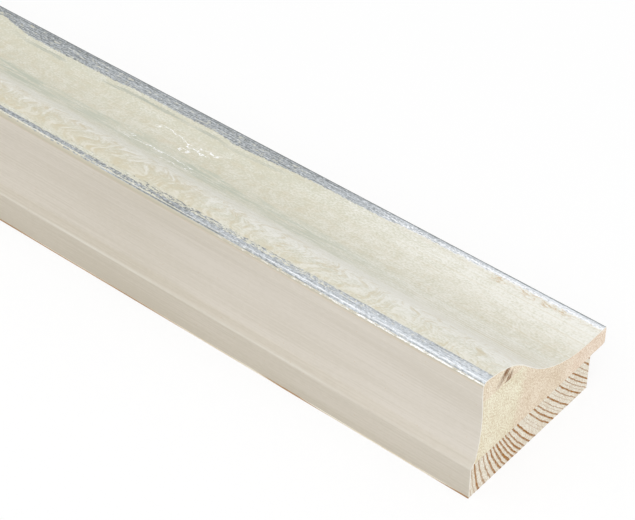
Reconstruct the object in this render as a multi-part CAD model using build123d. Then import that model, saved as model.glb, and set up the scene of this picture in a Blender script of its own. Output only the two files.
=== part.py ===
from build123d import *
import math
import os

# Picture frame moulding: one straight stick, cut square at both ends.
# Three pine staves are glued in a stack and planed to one section: a tall outer side with a
# shallow cove, a rounded nose, and an ogee that falls to a thin sight edge over the rebate.
# A gesso coat, the ground of the painted and leafed finish, covers the outer side and the face.
#
# Frame: X runs along the stick, +Y points to the sight edge, +Z up. The stick lies on its back,
# and the origin is the middle of its box at floor level.
# A height is measured from the back, and an inset from the outer side towards the sight edge.

# Stick, millimetres
length = 1200.0
width = 80.0

# Glued staves
lower_glue_line_height = 15.4
upper_glue_line_height = 42.5

# Rebate, cut a little past the lower glue line
rebate_width = 9.0
rebate_depth = 15.8

# Outer side: upright band, bevel, shallow cove, upright neck
band_height = 14.0
bevel_top_height = 17.5
cove_inset = 4.4
cove_middle_height = 34.3
cove_radius = 71.0
cove_top_height = 45.5

# Nose and face: a shoulder falls at a steepening angle, then a scoop levels out
nose_height = 52.4
nose_radius = 2.4
shoulder_fall = 8.7
shoulder_start_inset = 10.2
shoulder_radius = 33.8
steepest_fall = 43.4
scoop_radius = 52.5
sight_edge_height = 24.0

# Sight edge
sight_edge_radius = 0.9
lip_corner_radius = 1.0

# Gesso coat, which stops just clear of the back
coat_thickness = 0.4
coat_foot_height = 0.8

outer_side = -width / 2
sight_side = width / 2
rebate_wall = sight_side - rebate_width


def cove_inset_at(height):
    """Inset of the cove's arc at a height."""
    rise = height - cove_middle_height
    return cove_inset - cove_radius + math.sqrt(cove_radius**2 - rise**2)


def steep_run():
    """Length of the straight run from shoulder to scoop that ends the scoop at the sight edge's height."""
    falling = math.radians(shoulder_fall)
    steepest = math.radians(steepest_fall)
    top_drop = (shoulder_start_inset - neck_inset) * math.tan(falling)
    shoulder_drop = shoulder_radius * (math.cos(falling) - math.cos(steepest))
    scoop_drop = scoop_radius * (1 - math.cos(steepest))
    left_over = nose_height - sight_edge_height - top_drop - shoulder_drop - scoop_drop
    return left_over / math.sin(steepest)


neck_inset = cove_inset_at(cove_top_height)


def painted_line():
    """The finished outline: from the coat's foot up the outer side, over the nose, down to the sight edge."""
    foot = (outer_side, coat_foot_height)
    band_top = (outer_side, band_height)
    bevel_top = (outer_side + cove_inset_at(bevel_top_height), bevel_top_height)
    cove_middle = (outer_side + cove_inset, cove_middle_height)
    cove_top = (outer_side + neck_inset, cove_top_height)
    nose_corner = Vector(outer_side + neck_inset, nose_height)
    falling = Vector(1, 0).rotate(Axis.Z, -shoulder_fall)
    to_shoulder = (shoulder_start_inset - neck_inset) / math.cos(math.radians(shoulder_fall))
    nose_tangent = nose_radius * math.tan(math.radians(90 + shoulder_fall) / 2)
    neck_top = nose_corner - Vector(0, nose_tangent)

    with BuildLine() as line:
        Line(foot, band_top)
        Line(band_top, bevel_top)
        ThreePointArc(bevel_top, cove_middle, cove_top)
        Line(cove_top, neck_top)
        nose = JernArc(neck_top, (0, 1), nose_radius, -(90 + shoulder_fall))
        top = Line(nose @ 1, nose_corner + falling * to_shoulder)
        shoulder = JernArc(top @ 1, falling, shoulder_radius, shoulder_fall - steepest_fall)
        steep = Line(shoulder @ 1, (shoulder @ 1) + (shoulder % 1) * steep_run())
        scoop = JernArc(steep @ 1, shoulder % 1, scoop_radius, steepest_fall)
        flat_end = Vector(sight_side - sight_edge_radius, (scoop @ 1).Y)
        Line(scoop @ 1, flat_end)
        JernArc(flat_end, (1, 0), sight_edge_radius, -90)
    return line.wire()


def bare_line(painted):
    """The unfinished outline from the painted line's end, round the lip, rebate and back, to its start."""
    start = painted @ 1
    lip_base = (sight_side, rebate_depth + lip_corner_radius)
    with BuildLine() as line:
        Line(start, lip_base)
        corner = JernArc(lip_base, (0, -1), lip_corner_radius, -90)
        Polyline(
            corner @ 1,
            (rebate_wall, rebate_depth),
            (rebate_wall, 0),
            (outer_side, 0),
            painted @ 0,
        )
    return line.wire()


def slab(low, high):
    """A strip of the section plane between two heights, wider than the stick."""
    return Pos(0, (low + high) / 2) * Rectangle(2 * width, high - low)


def stick(face):
    """A face of the section carried along the whole length."""
    return extrude(Plane.YZ * face, amount=length / 2, both=True)


painted = painted_line()
section = make_face(painted.edges() + bare_line(painted).edges())
coat = make_face(painted.offset_2d(coat_thickness, side=Side.RIGHT, closed=True).edges())
wood = section - coat

parts = {
    "base_stave": wood & slab(0, lower_glue_line_height),
    "middle_stave": wood & slab(lower_glue_line_height, upper_glue_line_height),
    "top_stave": wood & slab(upper_glue_line_height, nose_height),
    "gesso_coat": coat,
}

os.makedirs("parts", exist_ok=True)
for name, face in parts.items():
    export_step(stick(face), f"parts/{name}.step")
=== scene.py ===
"""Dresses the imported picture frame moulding: three bare pine staves under a painted and leafed gesso coat.

Lengths in properties are metres. Patterns are laid out in millimetres, in which their sizes are easy to
read.
"""

import math

import bpy
import numpy as np
from bpy.props import FloatProperty, FloatVectorProperty, PointerProperty
from bpy.types import Operator, Panel, PropertyGroup
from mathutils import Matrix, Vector


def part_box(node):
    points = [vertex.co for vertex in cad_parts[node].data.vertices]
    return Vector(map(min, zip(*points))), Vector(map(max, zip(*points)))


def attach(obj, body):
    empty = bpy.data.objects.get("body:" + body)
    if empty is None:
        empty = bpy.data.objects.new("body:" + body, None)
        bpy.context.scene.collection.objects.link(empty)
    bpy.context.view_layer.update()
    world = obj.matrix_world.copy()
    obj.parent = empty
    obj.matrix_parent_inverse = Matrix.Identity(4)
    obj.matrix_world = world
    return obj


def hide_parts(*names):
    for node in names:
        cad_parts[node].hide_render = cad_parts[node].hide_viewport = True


bl_info = {
    "name": "Picture Frame Moulding",
    "version": (1, 0, 0),
    "blender": (4, 5, 0),
    "location": "3D View > Sidebar > Moulding",
    "description": "Builds the wood, the painted coat and the studio of a picture frame moulding",
    "category": "Add Mesh",
}

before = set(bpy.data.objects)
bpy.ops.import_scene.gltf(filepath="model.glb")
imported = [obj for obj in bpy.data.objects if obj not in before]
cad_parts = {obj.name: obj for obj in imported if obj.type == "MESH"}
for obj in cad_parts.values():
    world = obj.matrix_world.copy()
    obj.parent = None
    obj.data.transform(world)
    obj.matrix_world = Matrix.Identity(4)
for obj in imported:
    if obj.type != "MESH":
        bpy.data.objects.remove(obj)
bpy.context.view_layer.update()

MM = 0.001
UP = math.pi / 2
PHOTO_WIDTH_PIXELS = 635

# Ring lines of the base stave: inset at the glue line in millimetres, and how strong each line is.
BASE_RINGS = (
    (-9.5, 0.5), (-7.2, 0.7), (-5.0, 0.6), (-3.0, 0.7), (-1.2, 0.5), (0.6, 0.5), (2.3, 0.8), (4.6, 0.6),
    (7.0, 0.6), (9.0, 0.8), (11.1, 0.8), (12.8, 0.7), (14.7, 1.0), (16.6, 0.7), (18.2, 0.8), (20.0, 0.8),
    (21.8, 0.7), (24.2, 0.8), (26.8, 1.0), (30.2, 0.3), (31.4, 0.3), (34.0, 0.8), (36.5, 0.9), (39.0, 0.7),
    (40.6, 0.3), (42.0, 0.5), (44.7, 1.0), (47.0, 0.3), (49.0, 0.6), (51.9, 0.9), (53.6, 0.3), (55.2, 0.6),
    (57.5, 0.7), (60.3, 0.9), (62.2, 0.3), (64.0, 0.6), (67.3, 0.9), (70.4, 0.7), (73.6, 0.7), (76.5, 0.8),
    (79.2, 0.6),
)

# How the finish changes with the distance from a cut end: the distance in millimetres, where the sight
# edge's leaf starts round the section, how much of the nose's inner leaf is left, how dark the groove under
# the nose is, how dull and dark the finish is, and how scuffed the face is. The fifth column is partly the
# finish's own
# wearing and partly painted shade: lighter near the cut end and darker away from it.
WEAR_AND_SHADE = np.array(
    [
        (0, 132.2, 1.00, 0.50, 0.02, 0.0),
        (45, 132.1, 0.95, 0.55, 0.12, 0.0),
        (65, 131.8, 0.75, 0.60, 0.25, 0.0),
        (90, 131.5, 0.50, 0.60, 0.40, 0.0),
        (97, 130.4, 0.42, 0.65, 0.45, 0.0),
        (130, 130.1, 0.52, 0.95, 0.70, 0.0),
        (150, 129.0, 0.36, 0.95, 0.92, 0.0),
        (158, 128.3, 0.10, 0.80, 0.92, 0.0),
        (170, 127.6, 0.06, 0.70, 0.90, 1.0),
        (176, 128.9, 0.04, 0.50, 0.85, 1.0),
        (198, 128.7, 0.04, 0.35, 0.82, 1.0),
        (202, 128.7, 0.04, 0.30, 0.82, 0.0),
        (225, 128.6, 0.03, 0.25, 0.80, 0.0),
        (232, 127.7, 0.03, 0.25, 0.85, 0.0),
        (280, 127.1, 0.03, 0.30, 0.95, 0.0),
        (290, 128.5, 0.03, 0.35, 1.00, 0.0),
        (300, 130.7, 0.03, 0.35, 1.00, 0.0),
    ]
)

# Dark clumps in the top stave: middle across the ring lines, width, middle height and height, all in
# millimetres, and strength.
CLUMPS = ((14.6, 1.7, 5.0, 2.4, 1.0), (18.2, 1.5, 1.2, 2.2, 1.0), (12.5, 2.2, 2.0, 3.0, 0.35))

# Zones of the coat, by the distance round the section from its foot in millimetres: where each one starts
# to show, shows fully, starts to fade, and has faded.
ZONES = {
    "band arris": (12.9, 13.3, 13.6, 14.6),
    "below nose": (49.6, 50.2, 50.5, 50.9),
    "groove": (51.55, 51.8, 52.2, 52.4),
    "above groove": (51.9, 52.1, 52.3, 52.5),
    "nose arris": (52.5, 52.65, 52.85, 53.0),
    "nose leaf": (52.0, 54.5, 60.0, 90.0),
    "dull spots": (54.2, 54.8, 56.0, 57.0),
    "nose leaf edge": (55.6, 56.2, 57.5, 58.0),
    "beside leaf": (55.8, 56.6, 57.5, 66.0),
    "far shoulder": (56.0, 58.0, 68.0, 76.0),
    "shoulder": (56.0, 58.0, 70.0, 84.0),
    "light slope": (64.0, 70.0, 84.0, 94.0),
    "near slope": (72.0, 80.0, 98.0, 106.0),
    "grey slope": (89.0, 97.0, 102.0, 108.0),
    "scuffs": (90.0, 98.0, 116.0, 124.0),
    "scoop": (101.0, 107.0, 114.0, 126.0),
    "sight leaf glints": (120.0, 121.0, 133.0, 133.6),
    "flecks": (127.5, 130.3, 132.0, 132.8),
    "second line": (133.3, 133.5, 133.65, 133.9),
    "lit leaf near end": (60.0, 90.0, 133.8, 134.4),
}
WHITE = (1.0, 1.0, 1.0)

COAT_LOW, COAT_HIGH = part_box("gesso_coat")
BASE_LOW, BASE_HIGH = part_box("base_stave")
MIDDLE_LOW, MIDDLE_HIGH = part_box("middle_stave")
TOP_LOW, TOP_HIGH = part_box("top_stave")
STICK_START = COAT_LOW.x
STICK_END = COAT_HIGH.x
OUTER_SIDE = COAT_LOW.y
SIGHT_SIDE = MIDDLE_HIGH.y
COAT_FOOT = COAT_LOW.z
LOWER_GLUE_LINE = BASE_HIGH.z
UPPER_GLUE_LINE = TOP_LOW.z
REBATE_WALL = BASE_HIGH.y


def length_property(name, millimetres, description):
    """A size that is shown in the scene's own unit."""
    return FloatProperty(
        name=name, description=description, default=millimetres * MM, min=0.0, precision=5, unit="LENGTH"
    )


def angle_property(name, degrees, description):
    """An angle that is shown in degrees."""
    return FloatProperty(name=name, description=description, default=math.radians(degrees), subtype="ANGLE")


def linear(channel):
    """The linear value of one screen colour channel from 0 to 255."""
    share = channel / 255
    return share / 12.92 if share <= 0.04045 else ((share + 0.055) / 1.055) ** 2.4


def power_property(name, watts, description):
    """The power of a lamp."""
    return FloatProperty(name=name, description=description, default=watts, unit="POWER")


def colour_property(name, screen, description):
    """A colour given as it should look on screen, with channels from 0 to 255."""
    return FloatVectorProperty(
        name=name,
        description=description,
        default=[linear(channel) for channel in screen],
        min=0.0,
        max=1.0,
        size=3,
        subtype="COLOR",
    )


class MouldingSectionSettings(PropertyGroup):
    """Sizes of the section, from the back and from the outer side."""

    band_height: length_property("Band height", 14.0, "Upright band at the foot of the outer side")
    bevel_top_height: length_property("Bevel top", 17.5, "Height where the bevel meets the cove")
    cove_inset: length_property("Cove inset", 4.4, "Deepest point of the cove, from the outer side")
    cove_middle_height: length_property("Cove middle", 34.3, "Height of the cove's deepest point")
    cove_radius: length_property("Cove radius", 71.0, "Radius of the cove")
    cove_top_height: length_property("Cove top", 45.5, "Height where the cove meets the upright neck")
    nose_height: length_property("Nose height", 52.4, "Height of the corner that the nose rounds off")
    nose_radius: length_property("Nose radius", 2.4, "Radius of the nose")
    shoulder_fall: angle_property("Shoulder fall", 8.7, "Slope of the face just inside the nose")
    shoulder_start_inset: length_property("Shoulder start", 10.2, "Inset where the face starts to steepen")
    shoulder_radius: length_property("Shoulder radius", 33.8, "Radius of the convex shoulder")
    steepest_fall: angle_property("Steepest fall", 43.4, "Slope of the straight run down the face")
    scoop_radius: length_property("Scoop radius", 52.5, "Radius of the hollow before the sight edge")
    sight_edge_height: length_property("Sight edge height", 24.0, "Height of the face at the sight edge")
    sight_edge_radius: length_property("Sight edge radius", 0.9, "Rounding of the sight edge")
    lip_corner_radius: length_property("Lip corner radius", 1.0, "Rounding under the sight edge")
    rebate_depth: length_property("Rebate depth", 15.8, "Height of the shelf that the glass meets")
    coat_thickness: length_property("Coat thickness", 0.4, "Thickness of the gesso")
    coat_softness: length_property("Coat softness", 0.7, "Stretch over which the coat rounds a corner")


class MouldingWoodSettings(PropertyGroup):
    """Colours of the bare wood."""

    base_early: colour_property("Base stave", (235, 228, 213), "Earlywood of the stave at the back")
    base_late: colour_property("Base stave rings", (157, 101, 0), "Latewood lines of the stave at the back")
    sap: colour_property("Middle stave, pale", (236, 228, 204), "Pale side of the middle stave")
    heart: colour_property("Middle stave, warm", (233, 218, 196), "Warm side of the middle stave")
    lip: colour_property("Middle stave, lip", (241, 224, 205), "The same stave, thin over the rebate")
    top_early: colour_property("Top stave", (235, 222, 200), "Earlywood of the stave under the nose")
    top_late: colour_property("Top stave streaks", (128, 86, 48), "Dark streaks of the stave under the nose")


class MouldingFinishSettings(PropertyGroup):
    """Colours of the painted and leafed finish."""

    side: colour_property("Outer side", (214, 207, 196), "Paint on the outer side")
    # Also the colour of the painted shade on the outer side.
    side_shade: colour_property("Outer side lines", (192, 184, 168), "Fine darker lines on the outer side")
    ivory: colour_property("Ivory", (234, 233, 226), "Lightest paint on the face")
    cream: colour_property("Cream", (205, 204, 186), "Body colour of the face")
    tan: colour_property("Tan glaze", (204, 194, 166), "Glaze left in strokes on the shoulder")
    shade: colour_property("Grey glaze", (189, 193, 176), "Glaze left down the steep part of the face")
    silver: colour_property("Silver leaf", (201, 206, 211), "Bright leaf")
    slate: colour_property("Tarnished leaf", (119, 123, 124), "Dull leaf")
    # Colour of the painted glints and highlights on the leaf.
    glint: colour_property("Glinting leaf", (243, 244, 246), "Rubbed high spots of the leaf")
    groove: colour_property("Groove", (188, 182, 162), "Rubbed strip under the nose")
    gesso: colour_property("Gesso", (246, 243, 235), "Bare gesso on the cut edge")
    bole: colour_property("Bole", (190, 162, 118), "Ground that shows in flecks where leaf is rubbed off")


class MouldingStudioSettings(PropertyGroup):
    """Camera and lamps, measured from the outer bottom corner of the end that shows."""

    camera_place: FloatVectorProperty(
        name="Camera place",
        description="Beyond the cut end, from the outer side, and above the floor",
        default=(0.2867, -0.43445, 0.5586),
        subtype="TRANSLATION",
    )
    camera_pitch: angle_property("Camera pitch", 48.922, "Turn about the camera's X axis")
    camera_roll: angle_property("Camera roll", -0.587, "Turn about the camera's Y axis")
    camera_heading: angle_property("Camera heading", 39.727, "Turn about the vertical")
    focal_pixels: FloatProperty(name="Focal length", description="In photo pixels", default=2219.0)
    key_power: power_property("Key lamp", 36.0, "Lamp before the cut end")
    fill_power: power_property("Fill lamp", 13.0, "Lamp on the outer side")
    top_power: power_property("Top lamp", 12.0, "Lamp over the sight side")
    world_level: FloatProperty(name="World level", description="Light from all around", default=0.53)


def cove_inset_at(section, height):
    """Inset of the cove's arc at a height: the arc's middle inset less what the circle bends back."""
    rise = height - section.cove_middle_height
    return section.cove_inset - section.cove_radius + math.sqrt(section.cove_radius**2 - rise**2)


def painted_stretches(section):
    """Stretches of the finished outline from the coat's foot: length, first heading and last heading.

    A heading is the angle from +Y towards +Z. A straight run keeps its heading, and an arc's length is its
    radius times its turn. The steep run is as long as the heights of the nose and sight edge leave over.
    """
    fall = section.shoulder_fall
    steep = section.steepest_fall
    bevel_inset = cove_inset_at(section, section.bevel_top_height)
    neck_inset = cove_inset_at(section, section.cove_top_height)
    bevel_rise = section.bevel_top_height - section.band_height
    bevel_heading = math.atan2(bevel_rise, bevel_inset)
    cove_low = math.asin((section.bevel_top_height - section.cove_middle_height) / section.cove_radius)
    cove_high = math.asin((section.cove_top_height - section.cove_middle_height) / section.cove_radius)
    nose_tangent = section.nose_radius * math.tan((UP + fall) / 2)
    shoulder_inset = section.shoulder_start_inset - neck_inset
    top_drop = shoulder_inset * math.tan(fall)
    shoulder_drop = section.shoulder_radius * (math.cos(fall) - math.cos(steep))
    scoop_drop = section.scoop_radius * (1 - math.cos(steep))
    face_drop = section.nose_height - section.sight_edge_height
    steep_run = (face_drop - top_drop - shoulder_drop - scoop_drop) / math.sin(steep)
    scoop_end = (
        section.shoulder_start_inset
        + section.shoulder_radius * (math.sin(steep) - math.sin(fall))
        + steep_run * math.cos(steep)
        + section.scoop_radius * math.sin(steep)
    )
    level_run = SIGHT_SIDE - OUTER_SIDE - section.sight_edge_radius - scoop_end
    rows = np.array(
        [
            (section.band_height - COAT_FOOT, UP, UP),
            (math.hypot(bevel_inset, bevel_rise), bevel_heading, bevel_heading),
            (section.cove_radius * (cove_high - cove_low), UP + cove_low, UP + cove_high),
            (section.nose_height - nose_tangent - section.cove_top_height, UP, UP),
            (section.nose_radius * (UP + fall), UP, -fall),
            (shoulder_inset / math.cos(fall) - nose_tangent, -fall, -fall),
            (section.shoulder_radius * (steep - fall), -fall, -steep),
            (steep_run, -steep, -steep),
            (section.scoop_radius * steep, -steep, 0.0),
            (level_run, 0.0, 0.0),
            (section.sight_edge_radius * UP, 0.0, -UP),
        ]
    )
    if rows[:, 0].min() < 0:
        raise ValueError("These sizes leave no room for a part of the section")
    return rows


def painted_line(section, step=0.02 * MM):
    """The finished outline as distances, points (y, z) and headings at short even steps.

    The heading runs evenly from each stretch's first to its last value, and is then averaged over the coat's
    softness, which rounds the corners. The points are the running sum of the steps along the headings.
    """
    rows = painted_stretches(section)
    ends = np.concatenate([[0.0], np.cumsum(rows[:, 0])])
    middles = np.arange(step / 2, ends[-1], step)
    row = np.searchsorted(ends, middles) - 1
    share = (middles - ends[row]) / rows[row, 0]
    heading = rows[row, 1] * (1 - share) + rows[row, 2] * share
    window = max(1, round(section.coat_softness / step / 2))
    padded = np.pad(heading, window, mode="edge")
    heading = np.convolve(padded, np.full(2 * window + 1, 1 / (2 * window + 1)), mode="valid")
    steps = np.stack([np.cos(heading), np.sin(heading)], axis=1) * step
    points = np.concatenate([[[0.0, 0.0]], np.cumsum(steps, axis=0)]) + [OUTER_SIDE, COAT_FOOT]
    distance = np.arange(len(points)) * step
    return distance, points, np.interp(distance, middles, heading)


def sampled_line(section, count):
    """The painted line at a number of points that crowd where it turns.

    A point's share of the way is the mean of its share of the length and its share of the turning.
    """
    distance, points, heading = painted_line(section)
    turned = np.concatenate([[0.0], np.cumsum(np.abs(np.diff(heading)))])
    way = 0.7 * distance / distance[-1] + 0.3 * turned / turned[-1]
    picked = np.interp(np.linspace(0.0, 1.0, count), way, distance)
    columns = [points[:, 0], points[:, 1], heading]
    y, z, angle = [np.interp(picked, distance, column) for column in columns]
    return picked, np.stack([y, z], axis=1), angle


def inner_line(section, points, heading):
    """The line under the coat: the painted line moved inwards, at right angles to its heading."""
    inwards = np.stack([np.sin(heading), -np.cos(heading)], axis=1)
    return points + inwards * section.coat_thickness


def waves(seed, count, longest, shortest, *axes):
    """Smooth unevenness from -1 to 1: the mean of sine waves in random directions with random starts.

    Wavelengths run evenly, as ratios, from the longest to the shortest, in the unit of the axes.
    """
    draw = np.random.default_rng(seed)
    total = 0.0
    for wavelength in np.geomspace(longest, shortest, count):
        direction = draw.normal(size=len(axes))
        direction /= np.linalg.norm(direction)
        along = sum(axis * part for axis, part in zip(axes, direction))
        total = total + np.sin(along * math.tau / wavelength + draw.uniform(0, math.tau))
    return total / count


def boundary_index(rows, columns):
    """Indices of a grid's rim, once round: bottom row, right column, top row back, left column back."""
    index = np.arange(rows * columns).reshape(rows, columns)
    return np.concatenate([index[0, :-1], index[:-1, -1], index[-1, :0:-1], index[:0:-1, 0]])


def grid_faces(rows, columns):
    """Four-sided faces of a grid whose points are numbered row by row."""
    index = np.arange(rows * columns).reshape(rows, columns)
    corners = [index[:-1, :-1], index[:-1, 1:], index[1:, 1:], index[1:, :-1]]
    return np.stack(corners, axis=-1).reshape(-1, 4)


def along_polyline(points, count):
    """Points evenly spaced along a polyline by length."""
    points = np.asarray(points, float)
    way = np.concatenate([[0.0], np.cumsum(np.linalg.norm(np.diff(points, axis=0), axis=1))])
    picked = np.linspace(0.0, way[-1], count)
    return np.stack([np.interp(picked, way, points[:, 0]), np.interp(picked, way, points[:, 1])], axis=1)


def section_patch(bottom, top, left, right):
    """Fills four border lines with a grid of points, rows going up and columns going right.

    Each column runs straight from the bottom to the top line. What the left and right lines depart from the
    first and last column is then added, fading evenly to nothing at the other side.
    """
    up = np.linspace(0, 1, len(left))[:, None, None]
    across = np.linspace(0, 1, len(bottom))[None, :, None]
    ruled = bottom[None] * (1 - up) + top[None] * up
    left_part = left[:, None] - ruled[:, :1]
    right_part = right[:, None] - ruled[:, -1:]
    return ruled + left_part * (1 - across) + right_part * across


def new_mesh_object(name, vertices, quads, triangles=()):
    """A mesh object at the origin from arrays of points and faces, merged, closed and facing outwards.

    The faces are turned over where the solid they enclose would have a negative volume: a sixth of the sum
    of each corner triangle's triple product.
    """
    quads = np.asarray(quads).reshape(-1, 4)
    triangles = np.asarray(triangles, int).reshape(-1, 3)
    halves = np.concatenate([quads[:, [0, 1, 2]], quads[:, [0, 2, 3]], triangles])
    a, b, c = [vertices[halves[:, corner]] for corner in range(3)]
    if np.einsum("ij,ij->", a, np.cross(b, c)) < 0:
        quads = quads[:, ::-1]
        triangles = triangles[:, ::-1]
    mesh = bpy.data.meshes.new(name)
    mesh.from_pydata(vertices, [], quads.tolist() + triangles.tolist())
    mesh.validate()
    mesh.polygons.foreach_set("use_smooth", np.ones(len(mesh.polygons), bool))
    mesh.set_sharp_from_angle(angle=math.radians(35))
    made = bpy.data.objects.new(name, mesh)
    bpy.context.scene.collection.objects.link(made)
    return made


def add_attribute(made, name, values):
    """Stores three values for each point of the mesh."""
    attribute = made.data.attributes.new(name, "FLOAT_VECTOR", "POINT")
    attribute.data.foreach_set("vector", np.asarray(values, np.float32).ravel())


def sweep_rows(rim_count, station_count):
    """Four-sided faces between the rims at successive stations, closed round the rim."""
    index = np.arange(rim_count * station_count).reshape(station_count, rim_count)
    ahead = np.roll(index, -1, axis=1)
    return np.stack([index[:-1], ahead[:-1], ahead[1:], index[1:]], axis=-1).reshape(-1, 4)


def saw_relief(y, z):
    """How far a saw cut falls short of the end: slow waves and a slight drop where the blade broke out."""
    wavy = 0.04 * MM * (1 + waves(3, 5, 40, 4, y / MM, z / MM))
    return wavy + 0.05 * MM * np.clip(1 - z / (2 * MM), 0, 1)


def swept_stave(name, patch, stations, grain):
    """A stave: a patch of its section at both ends, and its rim carried along the stick between them.

    Its points keep the ring number, the spacing of the rings and the strength of their lines.
    """
    rows, columns = patch.shape[:2]
    flat = patch.reshape(-1, 2)
    rim = boundary_index(rows, columns)
    inside = np.setdiff1d(np.arange(len(flat)), rim)
    order = np.concatenate([rim, inside])
    number_of = np.empty(len(flat), int)
    number_of[order] = np.arange(len(flat))
    cap = number_of[grid_faces(rows, columns)]
    along = np.linspace(STICK_START, STICK_END, stations)
    sides = np.column_stack([np.repeat(along, len(rim)), np.tile(flat[rim], (stations, 1))])
    start_inside = np.column_stack([np.full(len(inside), STICK_START), flat[inside]])
    end_inside = np.column_stack([np.full(len(inside), STICK_END), flat[inside]])
    vertices = np.concatenate([sides, start_inside, end_inside])
    last_row = (stations - 1) * len(rim)
    start_cap = np.where(cap < len(rim), cap, cap - len(rim) + len(sides))
    end_cap = np.where(cap < len(rim), cap + last_row, cap - len(rim) + len(sides) + len(inside))
    quads = np.concatenate([sweep_rows(len(rim), stations), start_cap[:, ::-1], end_cap])
    relief = saw_relief(vertices[:, 1], vertices[:, 2])
    vertices[:, 0] += np.where(vertices[:, 0] == STICK_START, relief, 0)
    vertices[:, 0] -= np.where(vertices[:, 0] == STICK_END, relief, 0)
    made = new_mesh_object(name, vertices, quads)
    x, y, z = (vertices / MM).T
    add_attribute(made, "rings", np.column_stack(grain(x, y - OUTER_SIDE / MM, z)))
    return made


def wander(x, seed, amount):
    """Slow sideways drift of the growth rings along the stick, nothing at the end that shows."""
    here, at_end = [waves(seed, 4, 900, 180, place) for place in (x, np.array([STICK_END / MM]))]
    return amount * (here - at_end)


def base_grain(x, inset, z):
    """Ring number, spacing and line strength in the stave at the back.

    A ring line that crosses the glue line at an inset s is found, at depth d below it, at
    s + lean(s) * d + bend * d squared. The lean grows from hardly anything to nearly 1 away from the outer
    side. The inset s is found by trying it in the formula over and over.
    """
    steepest_lean, lean_start, lean_growth, bend = 0.98, 0.5, 25.0, 0.0105
    inset = inset + wander(x, 11, 2.5)
    depth = LOWER_GLUE_LINE / MM - z
    crossing = inset
    for _ in range(14):
        lean = steepest_lean * np.maximum(1 - np.exp((lean_start - crossing) / lean_growth), 0.04)
        crossing = inset - depth * lean - bend * depth**2
    places, strengths = np.array(BASE_RINGS).T
    number = np.interp(crossing, places, np.arange(len(places)))
    spacing = np.interp(crossing, places, np.gradient(places))
    return number, spacing, np.interp(crossing, places, strengths)


def middle_grain(x, inset, z):
    """Ring number, spacing and line strength in the middle stave, whose faint lines lean as they rise."""
    spacing, lean = 1.2, 0.7
    inset = inset + wander(x, 21, 4.0)
    height = z - LOWER_GLUE_LINE / MM
    number = (inset - lean * height) / spacing + 0.4 * waves(22, 4, 12, 4, inset, height)
    strength = 0.05 + 0.16 * np.clip((inset - 30) / 30, 0, 1)
    return number, np.full_like(x, spacing), strength


def top_grain(x, inset, z):
    """Ring number, spacing and stain in the top stave, where dark clumps sit beside each other.

    Across is the inset at which the leaning ring line through a place meets the glue line. Each clump is a
    bell curve round its middle.
    """
    spacing, lean = 1.3, 0.5
    inset = inset + wander(x, 31, 2.0)
    height = z - UPPER_GLUE_LINE / MM
    across = inset - lean * height
    stain = np.zeros_like(x)
    for middle, wide, middle_height, tall, strength in CLUMPS:
        away = ((across - middle) / wide) ** 2 + ((height - middle_height) / tall) ** 2
        stain += strength * np.exp(-away)
    return across / spacing, np.full_like(x, spacing), np.clip(stain, 0, 1)


class Signal:
    """A value that changes over the surface: an output socket that is reckoned with like a number."""

    def __init__(self, bench, socket):
        self.bench = bench
        self.socket = socket

    def __add__(self, other):
        return self.bench.maths("ADD", self, other)

    def __sub__(self, other):
        return self.bench.maths("SUBTRACT", self, other)

    def __rsub__(self, other):
        return self.bench.maths("SUBTRACT", other, self)

    def __mul__(self, other):
        return self.bench.maths("MULTIPLY", self, other)

    def __truediv__(self, other):
        return self.bench.maths("DIVIDE", self, other)

    def __pow__(self, other):
        return self.bench.maths("POWER", self, other)

    def __abs__(self):
        return self.bench.maths("ABSOLUTE", self)

    def at_least(self, other):
        """The greater of the two."""
        return self.bench.maths("MAXIMUM", self, other)

    def clamped(self):
        """Held between 0 and 1."""
        return self.bench.add("ShaderNodeClamp", {"Value": self})

    def ramp(self, low, high, to_low=0.0, to_high=1.0):
        """Runs smoothly between two values while this runs from low to high, and is level beyond."""
        keys = ("Value", "From Min", "From Max", "To Min", "To Max")
        inputs = dict(zip(keys, (self, low, high, to_low, to_high)))
        return self.bench.add("ShaderNodeMapRange", inputs, interpolation_type="SMOOTHSTEP")

    def band(self, low_start, low_end, high_start, high_end):
        """1 between the inner limits, falling smoothly to 0 at the outer ones."""
        return self.ramp(low_start, low_end) * self.ramp(high_start, high_end, 1.0, 0.0)

    def stretched(self, *scales):
        """A vector with each of its parts scaled."""
        return self.bench.vector("MULTIPLY", self, scales)

    def parts(self):
        """The three parts of a vector."""
        node = self.bench.new_node("ShaderNodeSeparateXYZ", {0: self})
        return list(self.bench.signals(node).values())


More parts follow.
